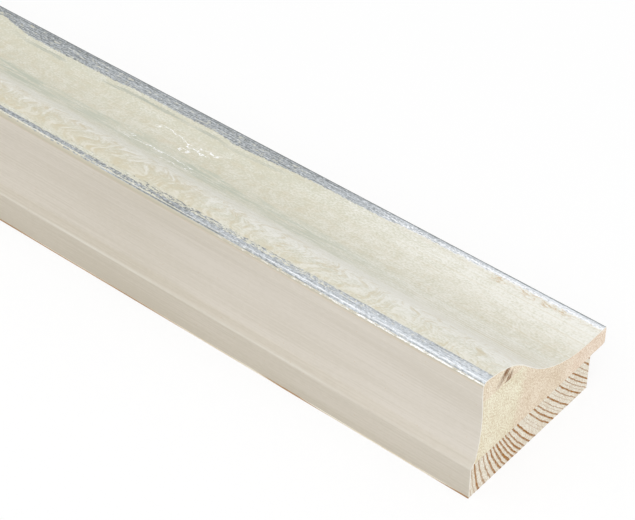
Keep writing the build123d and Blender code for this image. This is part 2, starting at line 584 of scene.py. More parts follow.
class NodeBench:
    """Adds nodes to one tree and hands back their outputs as signals."""

    def __init__(self, tree):
        self.tree = tree

    def plug(self, value, socket):
        """Links a signal to an input, or sets the input to a plain number, vector or colour."""
        if isinstance(value, Signal):
            self.tree.links.new(value.socket, socket)
        elif socket.type == "RGBA":
            socket.default_value = (*value, 1.0)
        else:
            socket.default_value = value

    def new_node(self, kind, inputs=None, **settings):
        """A node with its own settings, and inputs that go by name or by number."""
        node = self.tree.nodes.new(kind)
        for key, value in settings.items():
            setattr(node, key, value)
        for key, value in (inputs or {}).items():
            self.plug(value, node.inputs[key])
        return node

    def signals(self, node):
        """A node's outputs by name."""
        return {socket.name: Signal(self, socket) for socket in node.outputs}

    def add(self, kind, inputs=None, output=0, **settings):
        """A new node's output."""
        return Signal(self, self.new_node(kind, inputs, **settings).outputs[output])

    def maths(self, operation, *values):
        return self.add("ShaderNodeMath", dict(enumerate(values)), operation=operation)

    def vector(self, operation, *values):
        return self.add("ShaderNodeVectorMath", dict(enumerate(values)), operation=operation)

    def attribute(self, name):
        """The three values that the mesh keeps for each of its points under a name."""
        return self.add("ShaderNodeAttribute", output="Vector", attribute_name=name)

    def noise(self, vector, scale=1.0, detail=2.0, roughness=0.5, output=0):
        inputs = {"Vector": vector, "Scale": scale, "Detail": detail, "Roughness": roughness}
        return self.add("ShaderNodeTexNoise", inputs, output=output)

    def drawn(self, place, along, across, detail=4.0, roughness=0.75):
        """Noise on the unrolled coat, with its frequencies along and round the stick per millimetre."""
        return self.noise(place.stretched(along, across, 1.0), detail=detail, roughness=roughness)

    def cells(self, vector, scale):
        """The distance to the nearest of many scattered points."""
        inputs = {"Vector": vector, "Scale": scale}
        return self.add("ShaderNodeTexVoronoi", inputs, voronoi_dimensions="2D")

    def mix(self, factor, first, second, blend="MIX"):
        """A mix of two colours, which the node takes as its inputs 6 and 7 and gives as its output 2."""
        inputs = {0: factor, 6: first, 7: second}
        return self.add("ShaderNodeMix", inputs, output=2, data_type="RGBA", blend_type=blend)

    def mix_values(self, factor, first, second):
        """A mix of two numbers, which the node takes as its inputs 2 and 3."""
        return self.add("ShaderNodeMix", {0: factor, 2: first, 3: second}, data_type="FLOAT")

    def group(self, key, inputs):
        """A shared node group's outputs by name."""
        return self.signals(self.new_node("ShaderNodeGroup", inputs, node_tree=shared_group(key)))


VALUE = "NodeSocketFloat"
VECTOR = "NodeSocketVector"
COLOUR = "NodeSocketColor"


def new_group(name, inputs, outputs):
    """An empty node group with named inputs and outputs, with its bench and its inputs as signals."""
    tree = bpy.data.node_groups.new(name, "ShaderNodeTree")
    for label, kind in inputs.items():
        tree.interface.new_socket(name=label, in_out="INPUT", socket_type=kind)
    for label, kind in outputs.items():
        tree.interface.new_socket(name=label, in_out="OUTPUT", socket_type=kind)
    bench = NodeBench(tree)
    source = tree.nodes.new("NodeGroupInput")
    return tree, bench, [Signal(bench, source.outputs[label]) for label in inputs]


def close_group(tree, values):
    """Links the group's results to its named outputs."""
    sink = tree.nodes.new("NodeGroupOutput")
    for label, value in values.items():
        tree.links.new(value.socket, sink.inputs[label])
    return tree


def growth_rings_group():
    """Dark lines at whole ring numbers, sharp on the side where growth stopped and soft on the other.

    The distance to the line in millimetres is the part of a ring to the nearest whole number, times the
    spacing. Noise bends the lines a little and breaks them.
    """
    inputs = {"Rings": VECTOR, "Vector": VECTOR}
    tree, bench, (rings, vector) = new_group("Growth Rings", inputs, {"Line": VALUE})
    number, spacing, strength = rings.parts()
    place = vector.stretched(0.02, 0.8, 0.8)
    bend = bench.noise(place, scale=0.4, detail=3.0) * 0.9 - 0.45
    count = number + bend / spacing
    away = (count - bench.maths("ROUND", count)) * spacing
    half_width = strength.ramp(0.3, 1.0, 0.19, 0.52)
    soft_side = away.ramp(half_width * -1.5, half_width * -0.5)
    sharp_side = away.ramp(half_width * 0.6, half_width, 1.0, 0.0)
    broken = bench.noise(place, scale=1.2, detail=3.0, roughness=0.6).ramp(0.3, 0.6, 0.6, 1.0)
    return close_group(tree, {"Line": soft_side * sharp_side * broken * strength.ramp(0.0, 0.9)})


def wood_fibre_group():
    """Fibres drawn along the stick, or pores on the cut end, as a shade about one half."""
    inputs = {"Vector": VECTOR, "Cut End": VALUE}
    tree, bench, (vector, cut_end) = new_group("Wood Fibre", inputs, {"Shade": VALUE})
    fibre = bench.noise(vector.stretched(0.03, 2.2, 2.2), detail=4.0, roughness=0.65)
    pores = bench.noise(vector.stretched(0.2, 1.5, 1.5), detail=2.0, roughness=0.7)
    soft = bench.noise(vector.stretched(0.01, 0.15, 0.15), detail=2.0)
    return close_group(tree, {"Shade": soft * 0.2 + bench.mix_values(cut_end, fibre, pores) * 0.8})


def saw_marks_group():
    """Faint arcs that a circular blade leaves across a cut end: noise along the distance from its axle."""
    axle_depth = 110.0
    tree, bench, (vector,) = new_group("Saw Marks", {"Vector": VECTOR}, {"Height": VALUE})
    y, z = vector.parts()[1:]
    from_axle = bench.add("ShaderNodeCombineXYZ", {0: y, 1: z + axle_depth})
    radius = bench.add("ShaderNodeVectorMath", {0: from_axle}, output="Value", operation="LENGTH")
    on_radius = bench.add("ShaderNodeCombineXYZ", {0: radius})
    return close_group(tree, {"Height": bench.noise(on_radius, scale=1.1, detail=3.0, roughness=0.7)})


def torn_band_group():
    """A band between two distances round the section, whose edges noise tears before they are compared."""
    inputs = {"Vector": VECTOR, "Distance": VALUE, "Start": VALUE, "End": VALUE, "Tear": VALUE}
    tree, bench, (vector, distance, start, end, tear) = new_group("Torn Band", inputs, {"Mask": VALUE})
    coarse = bench.drawn(vector, 0.14, 0.3, 2.0, 0.5)
    fine = bench.drawn(vector, 0.5, 1.6, 3.0, 0.75)
    shaken = (fine * 2.2 + coarse * 0.8 - 1.5) * tear + distance
    soft = 0.15
    return close_group(tree, {"Mask": shaken.band(start, start + soft, end - soft, end)})


def leaf_group():
    """Leaf with dark flecks, lengthwise streaks and painted glints on rubbed high spots, duller as it
    tarnishes and with painted shade.
    """
    inputs = {"Vector": VECTOR, "Tarnish": VALUE, "Burnish": VALUE}
    inputs.update({"Silver": COLOUR, "Slate": COLOUR, "Glint": COLOUR})
    outputs = {"Color": COLOUR, "Roughness": VALUE, "Height": VALUE}
    tree, bench, (vector, tarnish_and_shade, burnish_glints, silver, slate, glint) = new_group("Silver Leaf", inputs, outputs)
    streaks = bench.drawn(vector, 0.06, 1.9, 3.0, 0.6)
    flecks = bench.drawn(vector, 0.7, 1.5, 2.0, 0.65)
    crumple = bench.drawn(vector, 0.75, 1.5, 3.0, 0.7)
    mottle = bench.mix_values(0.55, streaks, flecks)
    dull = (tarnish_and_shade * 0.85 + (mottle - 0.5) * 3.5).clamped()
    colour = bench.mix(dull, silver, slate)
    # Painted glints: rubbed high spots turn near white, more of them where Burnish is high.
    rubbed = (burnish_glints * 0.12 + crumple).ramp(0.56, 0.66, 0.0, 0.8) * dull.ramp(0.0, 1.0, 1.0, 0.2)
    colour = bench.mix(rubbed, colour, glint)
    rough = mottle.ramp(0.35, 0.65, 0.34, 0.55)
    return close_group(tree, {"Color": colour, "Roughness": rough, "Height": crumple})


def wiped_glaze_group():
    """Strokes of wiped glaze across the face: high in the furrows that keep glaze, low on the ridges.

    Slow noise bends the place, so that the strokes curve. Faint arcs round scattered middles are added, as
    the sine of the distance from the nearest middle.
    """
    inputs = {"Vector": VECTOR, "Spacing": VALUE}
    tree, bench, (vector, spacing) = new_group("Wiped Glaze", inputs, {"Furrow": VALUE})
    bend = bench.noise(vector.stretched(0.06, 0.08, 1.0), detail=1.0, output="Color")
    bend = bench.vector("MULTIPLY_ADD", bend, (22.0, 14.0, 0.0), (-11.0, -7.0, 0.0))
    moved = bench.vector("ADD", vector, bend).stretched(1.0, 0.8, 0.0)
    strokes = bench.drawn(moved, 0.36, 0.12, 4.0, 0.62)
    middles_apart = 20.0
    reach = bench.cells(moved, 1 / middles_apart) * middles_apart / spacing
    arcs = bench.maths("SINE", reach * math.tau)
    return close_group(tree, {"Furrow": arcs * 0.03 + strokes})


def streaks_group():
    """Fine lines along the stick, about one half."""
    inputs = {"Vector": VECTOR, "Scale": VALUE}
    tree, bench, (vector, scale) = new_group("Lengthwise Streaks", inputs, {"Value": VALUE})
    lines = bench.noise(vector.stretched(0.012, 1.0, 1.0), scale=scale, detail=5.0, roughness=0.7)
    return close_group(tree, {"Value": lines})


SHARED_GROUPS = {
    "rings": growth_rings_group,
    "fibre": wood_fibre_group,
    "saw": saw_marks_group,
    "torn": torn_band_group,
    "leaf": leaf_group,
    "glaze": wiped_glaze_group,
    "streaks": streaks_group,
}
shared = {}


def shared_group(key):
    """A shared node group, built the first time it is asked for."""
    if key not in shared:
        shared[key] = SHARED_GROUPS[key]()
    return shared[key]


def new_material(name):
    """A material with one Principled shader, with its bench and the shader's inputs."""
    material = bpy.data.materials.new(name)
    material.use_nodes = True
    return material, NodeBench(material.node_tree), material.node_tree.nodes["Principled BSDF"].inputs


def link_surface(bench, shader, colour, roughness, height, relief):
    """Feeds the shader a colour, a roughness and a bump of the given relief in metres."""
    bench.plug(colour, shader["Base Color"])
    bench.plug(roughness, shader["Roughness"])
    bench.plug(bench.add("ShaderNodeBump", {"Height": height, "Distance": relief}), shader["Normal"])


def millimetres_here(bench):
    """Object coordinates in millimetres."""
    here = bench.add("ShaderNodeTexCoord", output="Object")
    return bench.add("ShaderNodeVectorMath", {0: here, "Scale": 1 / MM}, operation="SCALE")


def cut_end_mask(bench):
    """1 on faces that look along the stick, and 0 on its long sides."""
    normal = bench.add("ShaderNodeNewGeometry", output="Normal")
    return abs(normal.parts()[0]).ramp(0.6, 0.8)


def wood_material(name, early, late, late_share):
    """Bare pine: earlywood, darker ring lines, fibres and pores, and saw marks on the ends.

    The earlywood is a colour, or a function that makes it from the bench, the place and the rings.
    """
    material, bench, shader = new_material(name)
    here = millimetres_here(bench)
    rings = bench.attribute("rings")
    cut_end = cut_end_mask(bench)
    lines = bench.group("rings", {"Rings": rings, "Vector": here})["Line"] * late_share
    shade = bench.group("fibre", {"Vector": here, "Cut End": cut_end})["Shade"]
    saw = bench.group("saw", {"Vector": here})["Height"]
    colour = bench.mix(lines, early(bench, here, rings) if callable(early) else early, late)
    light = shade.ramp(0.36, 0.64, 0.72, 1.18)
    tint = bench.add("ShaderNodeCombineColor", {0: light**0.7, 1: light, 2: light**1.35})
    colour = bench.mix(1.0, colour, tint, blend="MULTIPLY")
    height = saw * cut_end * 0.6 + shade + lines * 0.5
    link_surface(bench, shader, colour, 0.72, height, 0.08 * MM)
    bench.plug(0.15, shader["Specular IOR Level"])
    return material


def base_wood_material(wood):
    """Pale wood with many dark ring lines."""
    return wood_material("Base stave pine", wood.base_early, wood.base_late, 1.0)


def middle_wood_material(wood):
    """Fine wood that turns from pale to warm across the stave, with hardly any ring lines."""

    def earlywood(bench, here, rings):
        y, z = here.parts()[1:]
        lean = (z - LOWER_GLUE_LINE / MM) * 0.2
        shift = bench.noise(here.stretched(0.01, 0.2, 0.2), detail=4.0, roughness=0.65)
        across = shift * 7.0 + (y - OUTER_SIDE / MM - lean)
        colour = bench.mix(across.ramp(24.5, 31.0), wood.sap, wood.heart)
        return bench.mix(across.ramp(52.0, 68.0), colour, wood.lip)

    return wood_material("Middle stave pine", earlywood, wood.top_late, 1.0)


def top_wood_material(wood):
    """Warm wood with clumps of dark streaks that lean with the rings."""

    def earlywood(bench, here, rings):
        number, spacing, stain = rings.parts()
        x, _, z = here.parts()
        with_rings = bench.add("ShaderNodeCombineXYZ", {0: x, 1: number * spacing, 2: z})
        streak = bench.noise(with_rings.stretched(0.02, 2.2, 0.3), detail=3.0, roughness=0.65)
        dark = streak.ramp(0.4, 0.55, 0.15, 1.0) * stain.ramp(0.08, 0.7)
        return bench.mix(dark, wood.top_early, wood.top_late)

    return wood_material("Top stave pine", earlywood, wood.top_late, 0.25)


class CoatLayout:
    """What patterns on the coat go by: places along and round it, and the table of wearing and painted
    shade.
    """

    def __init__(self, bench, finish):
        self.bench = bench
        self.finish = finish
        self.place = bench.attribute("unrolled")
        self.distance = self.place.parts()[1]
        self.sight_start, self.leaf_left, self.groove = bench.attribute("leaf_left").parts()
        self.wear, self.scuffed = bench.attribute("worn_and_shaded").parts()[:2]

    def zone(self, name):
        """1 in a zone round the section."""
        return self.distance.band(*ZONES[name])

    def drawn(self, along, across, detail=4.0, roughness=0.75):
        return self.bench.drawn(self.place, along, across, detail, roughness)

    def streaks(self, scale):
        return self.bench.group("streaks", {"Vector": self.place, "Scale": scale})["Value"]

    def torn(self, start, end, tear):
        """A band round the section with torn edges."""
        inputs = {"Vector": self.place, "Distance": self.distance, "Start": start, "End": end, "Tear": tear}
        return self.bench.group("torn", inputs)["Mask"]


def side_paint(coat):
    """Matte paint of the outer side: fine lengthwise lines, a darker band, a pale arris and a few specks."""
    mix, finish, distance = coat.bench.mix, coat.finish, coat.distance
    lines = coat.streaks(1.3)
    cloud = coat.drawn(0.008, 0.07, 3.0, 0.5)
    dust = coat.drawn(0.4, 1.3, 2.0, 0.6)
    # Painted shade: the side is darker away from the cut end and over the bevel; it is also darker over the
    # band and towards the foot.
    shade = (lines * 0.5 + cloud * 0.3 + dust * 0.2).ramp(0.4, 0.6, -0.03, 0.42) + coat.wear * 0.3
    shade += distance.ramp(16.5, 18.0, 0.34, 0.0) + distance.ramp(0.0, 9.0, 0.25, 0.0)
    paint = mix(shade, finish.side, finish.side_shade)
    # Painted highlight: a pale broken line along the band's arris.
    paint = mix(coat.zone("band arris") * cloud.ramp(0.4, 0.6, 0.05, 0.32), paint, finish.ivory)
    speck = coat.bench.cells(coat.place.stretched(1.0, 1.0, 0.0), 1 / 15).ramp(0.008, 0.016, 0.5, 0.0)
    paint = mix(speck, paint, finish.bole)
    # Painted shadow: a faint bole-coloured line under the nose.
    return mix(coat.zone("below nose") * 0.2, paint, finish.bole), lines


def cream_paint(coat, near_end, speckle):
    """Cream of the face: mottled, speckled, and lighter on the slope and towards the sight edge."""
    finish, distance, wear = coat.finish, coat.distance, coat.wear
    mottle = coat.drawn(0.14, 0.2, 4.0, 0.65)
    light = mottle.ramp(0.3, 0.7, 0.3, 0.78) + speckle.ramp(0.3, 0.7, -0.42, 0.42)
    # Painted light and shade: lighter towards the sight edge and on the slope near the cut end, darker away
    # from it.
    light += distance.ramp(104.0, 128.0, 0.0, 0.35) * wear.ramp(0.0, 0.9, 1.0, -0.3)
    light += coat.zone("light slope") * 0.44 + near_end * 0.25 - wear * 0.35
    return coat.bench.mix(light, finish.cream, finish.ivory)


def tan_glaze(coat, near_end, paint):
    """Tan glaze in lengthwise lines, and in strokes across the shoulder with ivory ridges between them."""
    mix, finish, wear = coat.bench.mix, coat.finish, coat.wear
    patchy = coat.drawn(0.16, 0.22, 3.0, 0.65)
    in_scoop = coat.zone("scoop")
    glazed = coat.streaks(0.9).ramp(0.42, 0.7) * (near_end * 0.6 + wear.ramp(0.0, 0.6, 0.4, 0.25))
    glazed += in_scoop * 0.14 + coat.zone("far shoulder") * wear.ramp(0.7, 0.8, 0.0, 0.25)
    glazed += patchy.ramp(0.42, 0.62) * wear.ramp(0.3, 0.8, 0.04, 0.18)
    paint = mix(glazed, paint, finish.tan)

    furrow = coat.bench.group("glaze", {"Vector": coat.place, "Spacing": 2.6})["Furrow"]
    where = (in_scoop * 0.35 + coat.zone("shoulder")).clamped()
    kept = furrow.ramp(0.5, 0.63) * patchy.ramp(0.38, 0.6, 0.2, 0.8) * where
    wiped = furrow.ramp(0.5, 0.38) * patchy.ramp(0.38, 0.6, 0.25, 0.85) * where
    paint = mix(wiped, mix(kept, paint, finish.tan), finish.ivory)
    beside_leaf = coat.zone("beside leaf") * patchy.ramp(0.4, 0.6, 0.3, 1.0)
    return mix(beside_leaf * wear.ramp(0.0, 1.0, 0.25, 0.45), paint, finish.tan), furrow


def grey_glaze(coat, paint):
    """Grey glaze down the slope, whose edges wander and which comes and goes with the wear."""
    wear = coat.wear
    shift = (coat.drawn(0.05, 0.2, 4.0, 0.65) - 0.5) * 24.0
    dabs = coat.drawn(0.08, 0.5, 4.0, 0.75).ramp(0.4, 0.6, 0.0, 1.15)
    grey = (shift + coat.distance).band(*ZONES["grey slope"]) * dabs
    grey *= wear.ramp(0.2, 0.5, 0.0, 0.68) + wear.ramp(0.84, 0.92, 0.0, 0.45)
    return coat.bench.mix(grey, paint, coat.finish.shade)


def white_scuffs(coat, speckle, paint):
    """Thin white threads, where slow noise passes one half."""
    thread = coat.drawn(0.035, 0.06, 4.0, 0.6).band(0.488, 0.495, 0.505, 0.512)
    thread *= speckle.ramp(0.36, 0.5) * coat.zone("scuffs") * coat.scuffed
    return coat.bench.mix(thread, paint, WHITE)


def face_paint(coat):
    """Paint of the face, and the furrows in its glaze."""
    speckle = coat.drawn(0.9, 1.4, 2.0, 0.6)
    # The slope near the cut end, which is painted lighter there as painted light, and glazed in lines.
    near_end = coat.zone("near slope") * coat.wear.ramp(0.02, 0.35, 1.0, 0.0)
    paint = cream_paint(coat, near_end, speckle)
    paint, furrow = tan_glaze(coat, near_end, paint)
    paint = grey_glaze(coat, paint)
    return white_scuffs(coat, speckle, paint), furrow


def strip_paint(coat, paint):
    """The rubbed strip under the nose, with white glints on it and a pale line above it."""
    mix, wear = coat.bench.mix, coat.wear
    strip = coat.torn(wear.ramp(0.5, 0.9, 50.5, 50.3), 52.1, 0.3)
    paint = mix(strip * 0.9, paint, coat.finish.groove)
    glints = (coat.drawn(0.28, 0.8) - wear.ramp(0.05, 0.35, 0.0, 0.08)).ramp(0.38, 0.56)
    glints *= wear.ramp(0.3, 0.75, 1.0, 0.0) * coat.torn(50.95, 51.65, 0.4)
    paint = mix(glints, paint, WHITE)
    return mix(coat.zone("above groove") * wear.ramp(0.5, 0.8, 0.0, 0.22), paint, coat.finish.side)


def stray_paint(coat, paint):
    """Stray leaf beside the sight edge's leaf far from the end, and flecks of bole along it."""
    mix, finish, wear = coat.bench.mix, coat.finish, coat.wear
    start = coat.sight_start - 3.6
    stray = coat.torn(start, start + 1.8, 1.2) * coat.drawn(0.022, 0.0, 1.0, 0.5).ramp(0.46, 0.54)
    stray *= coat.drawn(0.05, 1.6).ramp(0.38, 0.6, 0.2, 1.0) * wear.ramp(0.7, 0.8, 0.0, 0.9)
    paint = mix(stray, paint, mix(0.3, finish.shade, finish.slate))
    clusters = coat.drawn(0.05, 0.1, 2.0, 0.5).ramp(0.48, 0.6, 0.05, 0.4) * wear.ramp(0.05, 0.4, 1.0, 0.3)
    by_end = coat.drawn(0.12, 0.1, 2.0, 0.5).ramp(0.44, 0.54, 0.0, 0.75)
    by_end *= wear.band(0.04, 0.06, 0.12, 0.15)
    flecks = coat.drawn(0.35, 0.9).ramp(0.45, 0.6) * clusters.at_least(by_end) * coat.zone("flecks")
    return mix(flecks, paint, finish.bole)


def nose_leaf(coat):
    """Masks of the leaf over the nose, all that is left of it, and of the dark dashes in the groove."""
    wear = coat.wear
    patches = coat.drawn(0.45, 1.3, 3.0, 0.7).ramp(0.33, 0.67)
    inner = coat.torn(53.8, 56.9, 0.45) * (coat.leaf_left - patches).ramp(-0.16, 0.2)
    outer = coat.torn(wear.ramp(0.5, 0.85, 52.2, 52.5), 54.5, 0.4)
    outer *= (wear.ramp(0.7, 0.95, 1.2, 0.7) - patches).ramp(-0.1, 0.15)
    dashes = coat.groove * 0.4 + coat.drawn(0.3, 1.0, 3.0, 0.7) + wear.ramp(0.2, 0.4, 0.25, 0.0)
    in_groove = coat.zone("groove") * dashes.ramp(0.6, 0.72)
    return inner.at_least(outer).at_least(in_groove), in_groove


def sight_leaf(coat):
    """Mask of the leaf along the sight edge, with torn holes where it is worn."""
    holes = coat.drawn(0.25, 0.9).ramp(0.54, 0.64, 0.0, 0.75) * coat.wear.ramp(0.65, 0.85)
    holes *= coat.distance.ramp(133.2, 133.8, 1.0, 0.0)
    return coat.torn(coat.sight_start, 140.0, 1.2) * (1.0 - holes)


def leaf_surface(coat, in_groove):
    """Colour, roughness and height of the leaf: duller with wearing and painted shade, over the edges and in
    the groove.
    """
    finish, wear = coat.finish, coat.wear
    tarnish_and_shade = wear * 0.75 + 0.14
    tarnish_and_shade += coat.zone("second line") * wear.ramp(0.4, 0.7, 0.0, 0.4)
    # Painted shade: the leaf darkens where the sight edge turns down and away.
    tarnish_and_shade += coat.distance.ramp(134.2, 134.55) * wear.ramp(0.0, 0.5, 0.8, 0.9)
    tarnish_and_shade += coat.zone("nose leaf") * wear.ramp(0.05, 0.3, 0.05, 0.1)
    tarnish_and_shade += coat.zone("nose leaf edge") * 0.2
    tarnish_and_shade += coat.zone("dull spots") * wear.ramp(0.6, 0.75, 0.0, 0.3)
    tarnish_and_shade = tarnish_and_shade.at_least(in_groove * coat.groove.ramp(0.4, 0.95, 0.55, 1.1))
    burnish_glints = coat.zone("sight leaf glints") * wear.ramp(0.3, 0.6, 1.0, 0.0)
    inputs = {"Vector": coat.place, "Tarnish": tarnish_and_shade, "Burnish": burnish_glints}
    inputs.update({"Silver": finish.silver, "Slate": finish.slate, "Glint": finish.glint})
    leaf = coat.bench.group("leaf", inputs)
    # Painted highlight: a pale broken line along the nose's arris.
    arris = coat.zone("nose arris") * wear.ramp(0.3, 0.8, 0.65, 0.0)
    arris *= coat.drawn(0.35, 1.0).ramp(0.36, 0.56)
    # Painted light: the sight edge's leaf is lighter near the cut end.
    lit_leaf = coat.zone("lit leaf near end") * wear.ramp(0.02, 0.35, 0.3, 0.0)
    colour = coat.bench.mix(arris.at_least(lit_leaf), leaf["Color"], finish.glint)
    return colour, leaf["Roughness"], leaf["Height"]


def painted_material(finish):
    """The painted and leafed coat, laid out by the distance round the section."""
    material, bench, shader = new_material("Painted and leafed coat")
    coat = CoatLayout(bench, finish)
    side, side_lines = side_paint(coat)
    face, furrow = face_paint(coat)
    paint = bench.mix(coat.distance.ramp(51.3, 52.0), side, face)
    paint = stray_paint(coat, strip_paint(coat, paint))
    over_nose, in_groove = nose_leaf(coat)
    leafed = over_nose.at_least(sight_leaf(coat))
    leaf_colour, leaf_roughness, leaf_height = leaf_surface(coat, in_groove)
    colour = bench.mix(leafed, paint, leaf_colour)
    roughness = bench.mix_values(leafed, coat.distance.ramp(51.0, 53.0, 0.62, 0.5), leaf_roughness)
    relief = side_lines * 0.5 + furrow * 0.5 + leafed * leaf_height
    link_surface(bench, shader, colour, roughness, relief, 0.05 * MM)
    bench.plug(leafed * 0.75, shader["Metallic"])
    return material


def gesso_material(finish):
    """Chalky white gesso, seen where the coat is sawn through."""
    material, bench, shader = new_material("Bare gesso")
    grain = bench.noise(millimetres_here(bench), scale=3.0, detail=4.0, roughness=0.7)
    colour = bench.mix(grain.ramp(0.3, 0.7, 0.0, 0.3), finish.gesso, finish.cream)
    link_surface(bench, shader, colour, 0.85, grain, 0.03 * MM)
    return material


def paint_with(made, material):
    """Gives the piece a material, the next one in its list."""
    made.data.materials.append(material)


def dress(made, node):
    """Hangs the piece under the stick's root and hides the imported part that it stands in for."""
    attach(made, "root")
    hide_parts(node)


def under_coat(section):
    """The wood's own line under the coat, from its foot to the sight edge, closely sampled."""
    distance, points, heading = painted_line(section, 0.1 * MM)
    return inner_line(section, points, heading)


def between_heights(line, low, high, first):
    """The stretch of a line between two heights, on its way up or on its way down, ends included."""
    peak = np.argmax(line[:, 1])
    half = line[: peak + 1] if first else line[peak:][::-1]
    low_y, high_y = np.interp([low, high], half[:, 1], half[:, 0])
    kept = half[(half[:, 1] > low) & (half[:, 1] < high)]
    return np.concatenate([[[low_y, low]], kept, [[high_y, high]]])


class MOULDING_OT_base_stave(Operator):
    """Make the stave at the back, which leaves the rebate beside it."""

    bl_idname = "moulding.base_stave"
    bl_label = "Base Stave"

    def execute(self, context):
        section = context.scene.moulding_section
        up_side = between_heights(under_coat(section), COAT_FOOT, LOWER_GLUE_LINE, True)
        columns, rows = 176, 40
        foot = [(OUTER_SIDE, 0.0), (OUTER_SIDE, COAT_FOOT)]
        left = along_polyline(np.concatenate([foot, up_side]), rows)
        right = along_polyline([(REBATE_WALL, 0.0), (REBATE_WALL, LOWER_GLUE_LINE)], rows)
        bottom = along_polyline([left[0], right[0]], columns)
        top = along_polyline([left[-1], right[-1]], columns)
        patch = section_patch(bottom, top, left, right)
        made = swept_stave("base_stave_wood", patch, stations=110, grain=base_grain)
        paint_with(made, base_wood_material(context.scene.moulding_wood))
        dress(made, "base_stave")
        return {"FINISHED"}


class MOULDING_OT_middle_stave(Operator):
    """Make the thick stave with the cove, the steep face and the lip over the rebate."""

    bl_idname = "moulding.middle_stave"
    bl_label = "Middle Stave"

    def execute(self, context):
        section = context.scene.moulding_section
        line = under_coat(section)
        columns, rows = 176, 60
        left = along_polyline(between_heights(line, LOWER_GLUE_LINE, UPPER_GLUE_LINE, True), rows)
        sight_end = line[-1]
        face = between_heights(line, sight_end[1], UPPER_GLUE_LINE, False)[::-1]
        top = along_polyline(np.concatenate([[left[-1]], face]), columns)
        shelf = section.rebate_depth
        radius = section.lip_corner_radius
        turn = np.linspace(-UP, 0, 8)
        round_middle = [SIGHT_SIDE - radius, shelf + radius]
        corner = round_middle + radius * np.stack([np.cos(turn), np.sin(turn)], axis=1)
        step = [(REBATE_WALL, LOWER_GLUE_LINE), (REBATE_WALL, shelf)]
        bottom = along_polyline(np.concatenate([[left[0]], step, corner[:1]]), columns)
        lip = [(SIGHT_SIDE, sight_end[1])]
        right = along_polyline(np.concatenate([corner, lip, [top[-1]]]), rows)
        patch = section_patch(bottom, top, left, right)
        made = swept_stave("middle_stave_wood", patch, stations=100, grain=middle_grain)
        paint_with(made, middle_wood_material(context.scene.moulding_wood))
        dress(made, "middle_stave")
        return {"FINISHED"}


class MOULDING_OT_top_stave(Operator):
    """Make the wedge-shaped stave under the nose."""

    bl_idname = "moulding.top_stave"
    bl_label = "Top Stave"

    def execute(self, context):
        section = context.scene.moulding_section
        line = under_coat(section)
        peak = line[np.argmax(line[:, 1])]
        columns, rows = 90, 40
        left = along_polyline(between_heights(line, UPPER_GLUE_LINE, peak[1], True), rows)
        face = between_heights(line, UPPER_GLUE_LINE, peak[1], False)[::-1]
        tip_thickness = 0.05 * MM
        kept = face[face[:, 1] > UPPER_GLUE_LINE + tip_thickness]
        top = along_polyline(kept, columns)
        right = along_polyline([(kept[-1][0], UPPER_GLUE_LINE), kept[-1]], rows)
        top[0] = left[-1]
        bottom = along_polyline([left[0], right[0]], columns)
        patch = section_patch(bottom, top, left, right)
        made = swept_stave("top_stave_wood", patch, stations=110, grain=top_grain)
        paint_with(made, top_wood_material(context.scene.moulding_wood))
        dress(made, "top_stave")
        return {"FINISHED"}


def coat_relief(along, distance):
    """How far the coat stands out at a place on it, in metres, from millimetres along and round.

    Slow waves from hand rubbing, finer ripples drawn along the stick, a low bead where the leaf's edge was
    built up under the nose, and a groove above it.
    """
    rubbed = 0.03 * waves(41, 7, 160, 18, along, distance * 2)
    drawn = 0.012 * waves(42, 5, 9, 3, distance)
    bead = 0.1 * np.exp(-(((distance - 51.0) / 0.45) ** 2)) * (1 + 0.5 * waves(43, 5, 30, 6, along))
    groove = -0.06 * np.exp(-(((distance - 52.0) / 0.35) ** 2))
    return (rubbed + drawn + bead + groove) * MM


def wear_at(x):
    """The columns of the table of wearing and painted shade at places along the stick, in millimetres.

    The table is read forwards and backwards in turn, so that it starts afresh at both cut ends.
    """
    distance = WEAR_AND_SHADE[:, 0]
    fold = distance[-1]
    from_end = fold - np.abs((STICK_END / MM - x) % (2 * fold) - fold)
    return [np.interp(from_end, distance, column) for column in WEAR_AND_SHADE[:, 1:].T]


def coat_cap(outer_count, picked):
    """Triangles over the coat's cut end, between its outer line and the fewer points of its inner line.

    The inner line lies under the picked outer points and is numbered on from the outer line, backwards. Each
    step along the outer line makes a triangle with the inner point below it, and a second one where the
    inner line steps too.
    """
    last = outer_count + len(picked) - 1
    below = last - (np.searchsorted(picked, np.arange(outer_count), side="right") - 1)
    first, second = np.arange(outer_count - 1), np.arange(1, outer_count)
    fans = np.stack([first, second, below[:-1]], axis=1)
    joins = np.stack([second, below[1:], below[:-1]], axis=1)[below[:-1] != below[1:]]
    return np.concatenate([fans, joins])


def coat_points(section, outer_count, picked, stations):
    """Points of the coat at each station: its outer line from the foot, then its inner line back again.

    The relief moves outer points at right angles to the line, and fades over the last 2 mm at both its ends.
    Every point's place along the stick and its distance round the section follow, in millimetres.
    """
    distance, outer, heading = sampled_line(section, outer_count)
    inner = inner_line(section, outer[picked], heading[picked])[::-1]
    rim = np.concatenate([outer, inner])
    outwards = np.stack([-np.sin(heading), np.cos(heading)], axis=1)
    outwards = np.concatenate([outwards, np.zeros_like(inner)])
    along = np.linspace(STICK_START, STICK_END, stations)
    x, number = np.meshgrid(along, np.arange(len(rim)), indexing="ij")
    rim_distance = np.concatenate([distance, distance[picked][::-1]])[number] / MM
    fade = np.clip(np.minimum(rim_distance, rim_distance.max() - rim_distance) / 2, 0, 1)
    relief = coat_relief(x / MM, rim_distance) * fade
    place = rim[number] + outwards[number] * relief[..., None]
    return np.concatenate([x[..., None], place], axis=-1).reshape(-1, 3), x / MM, rim_distance


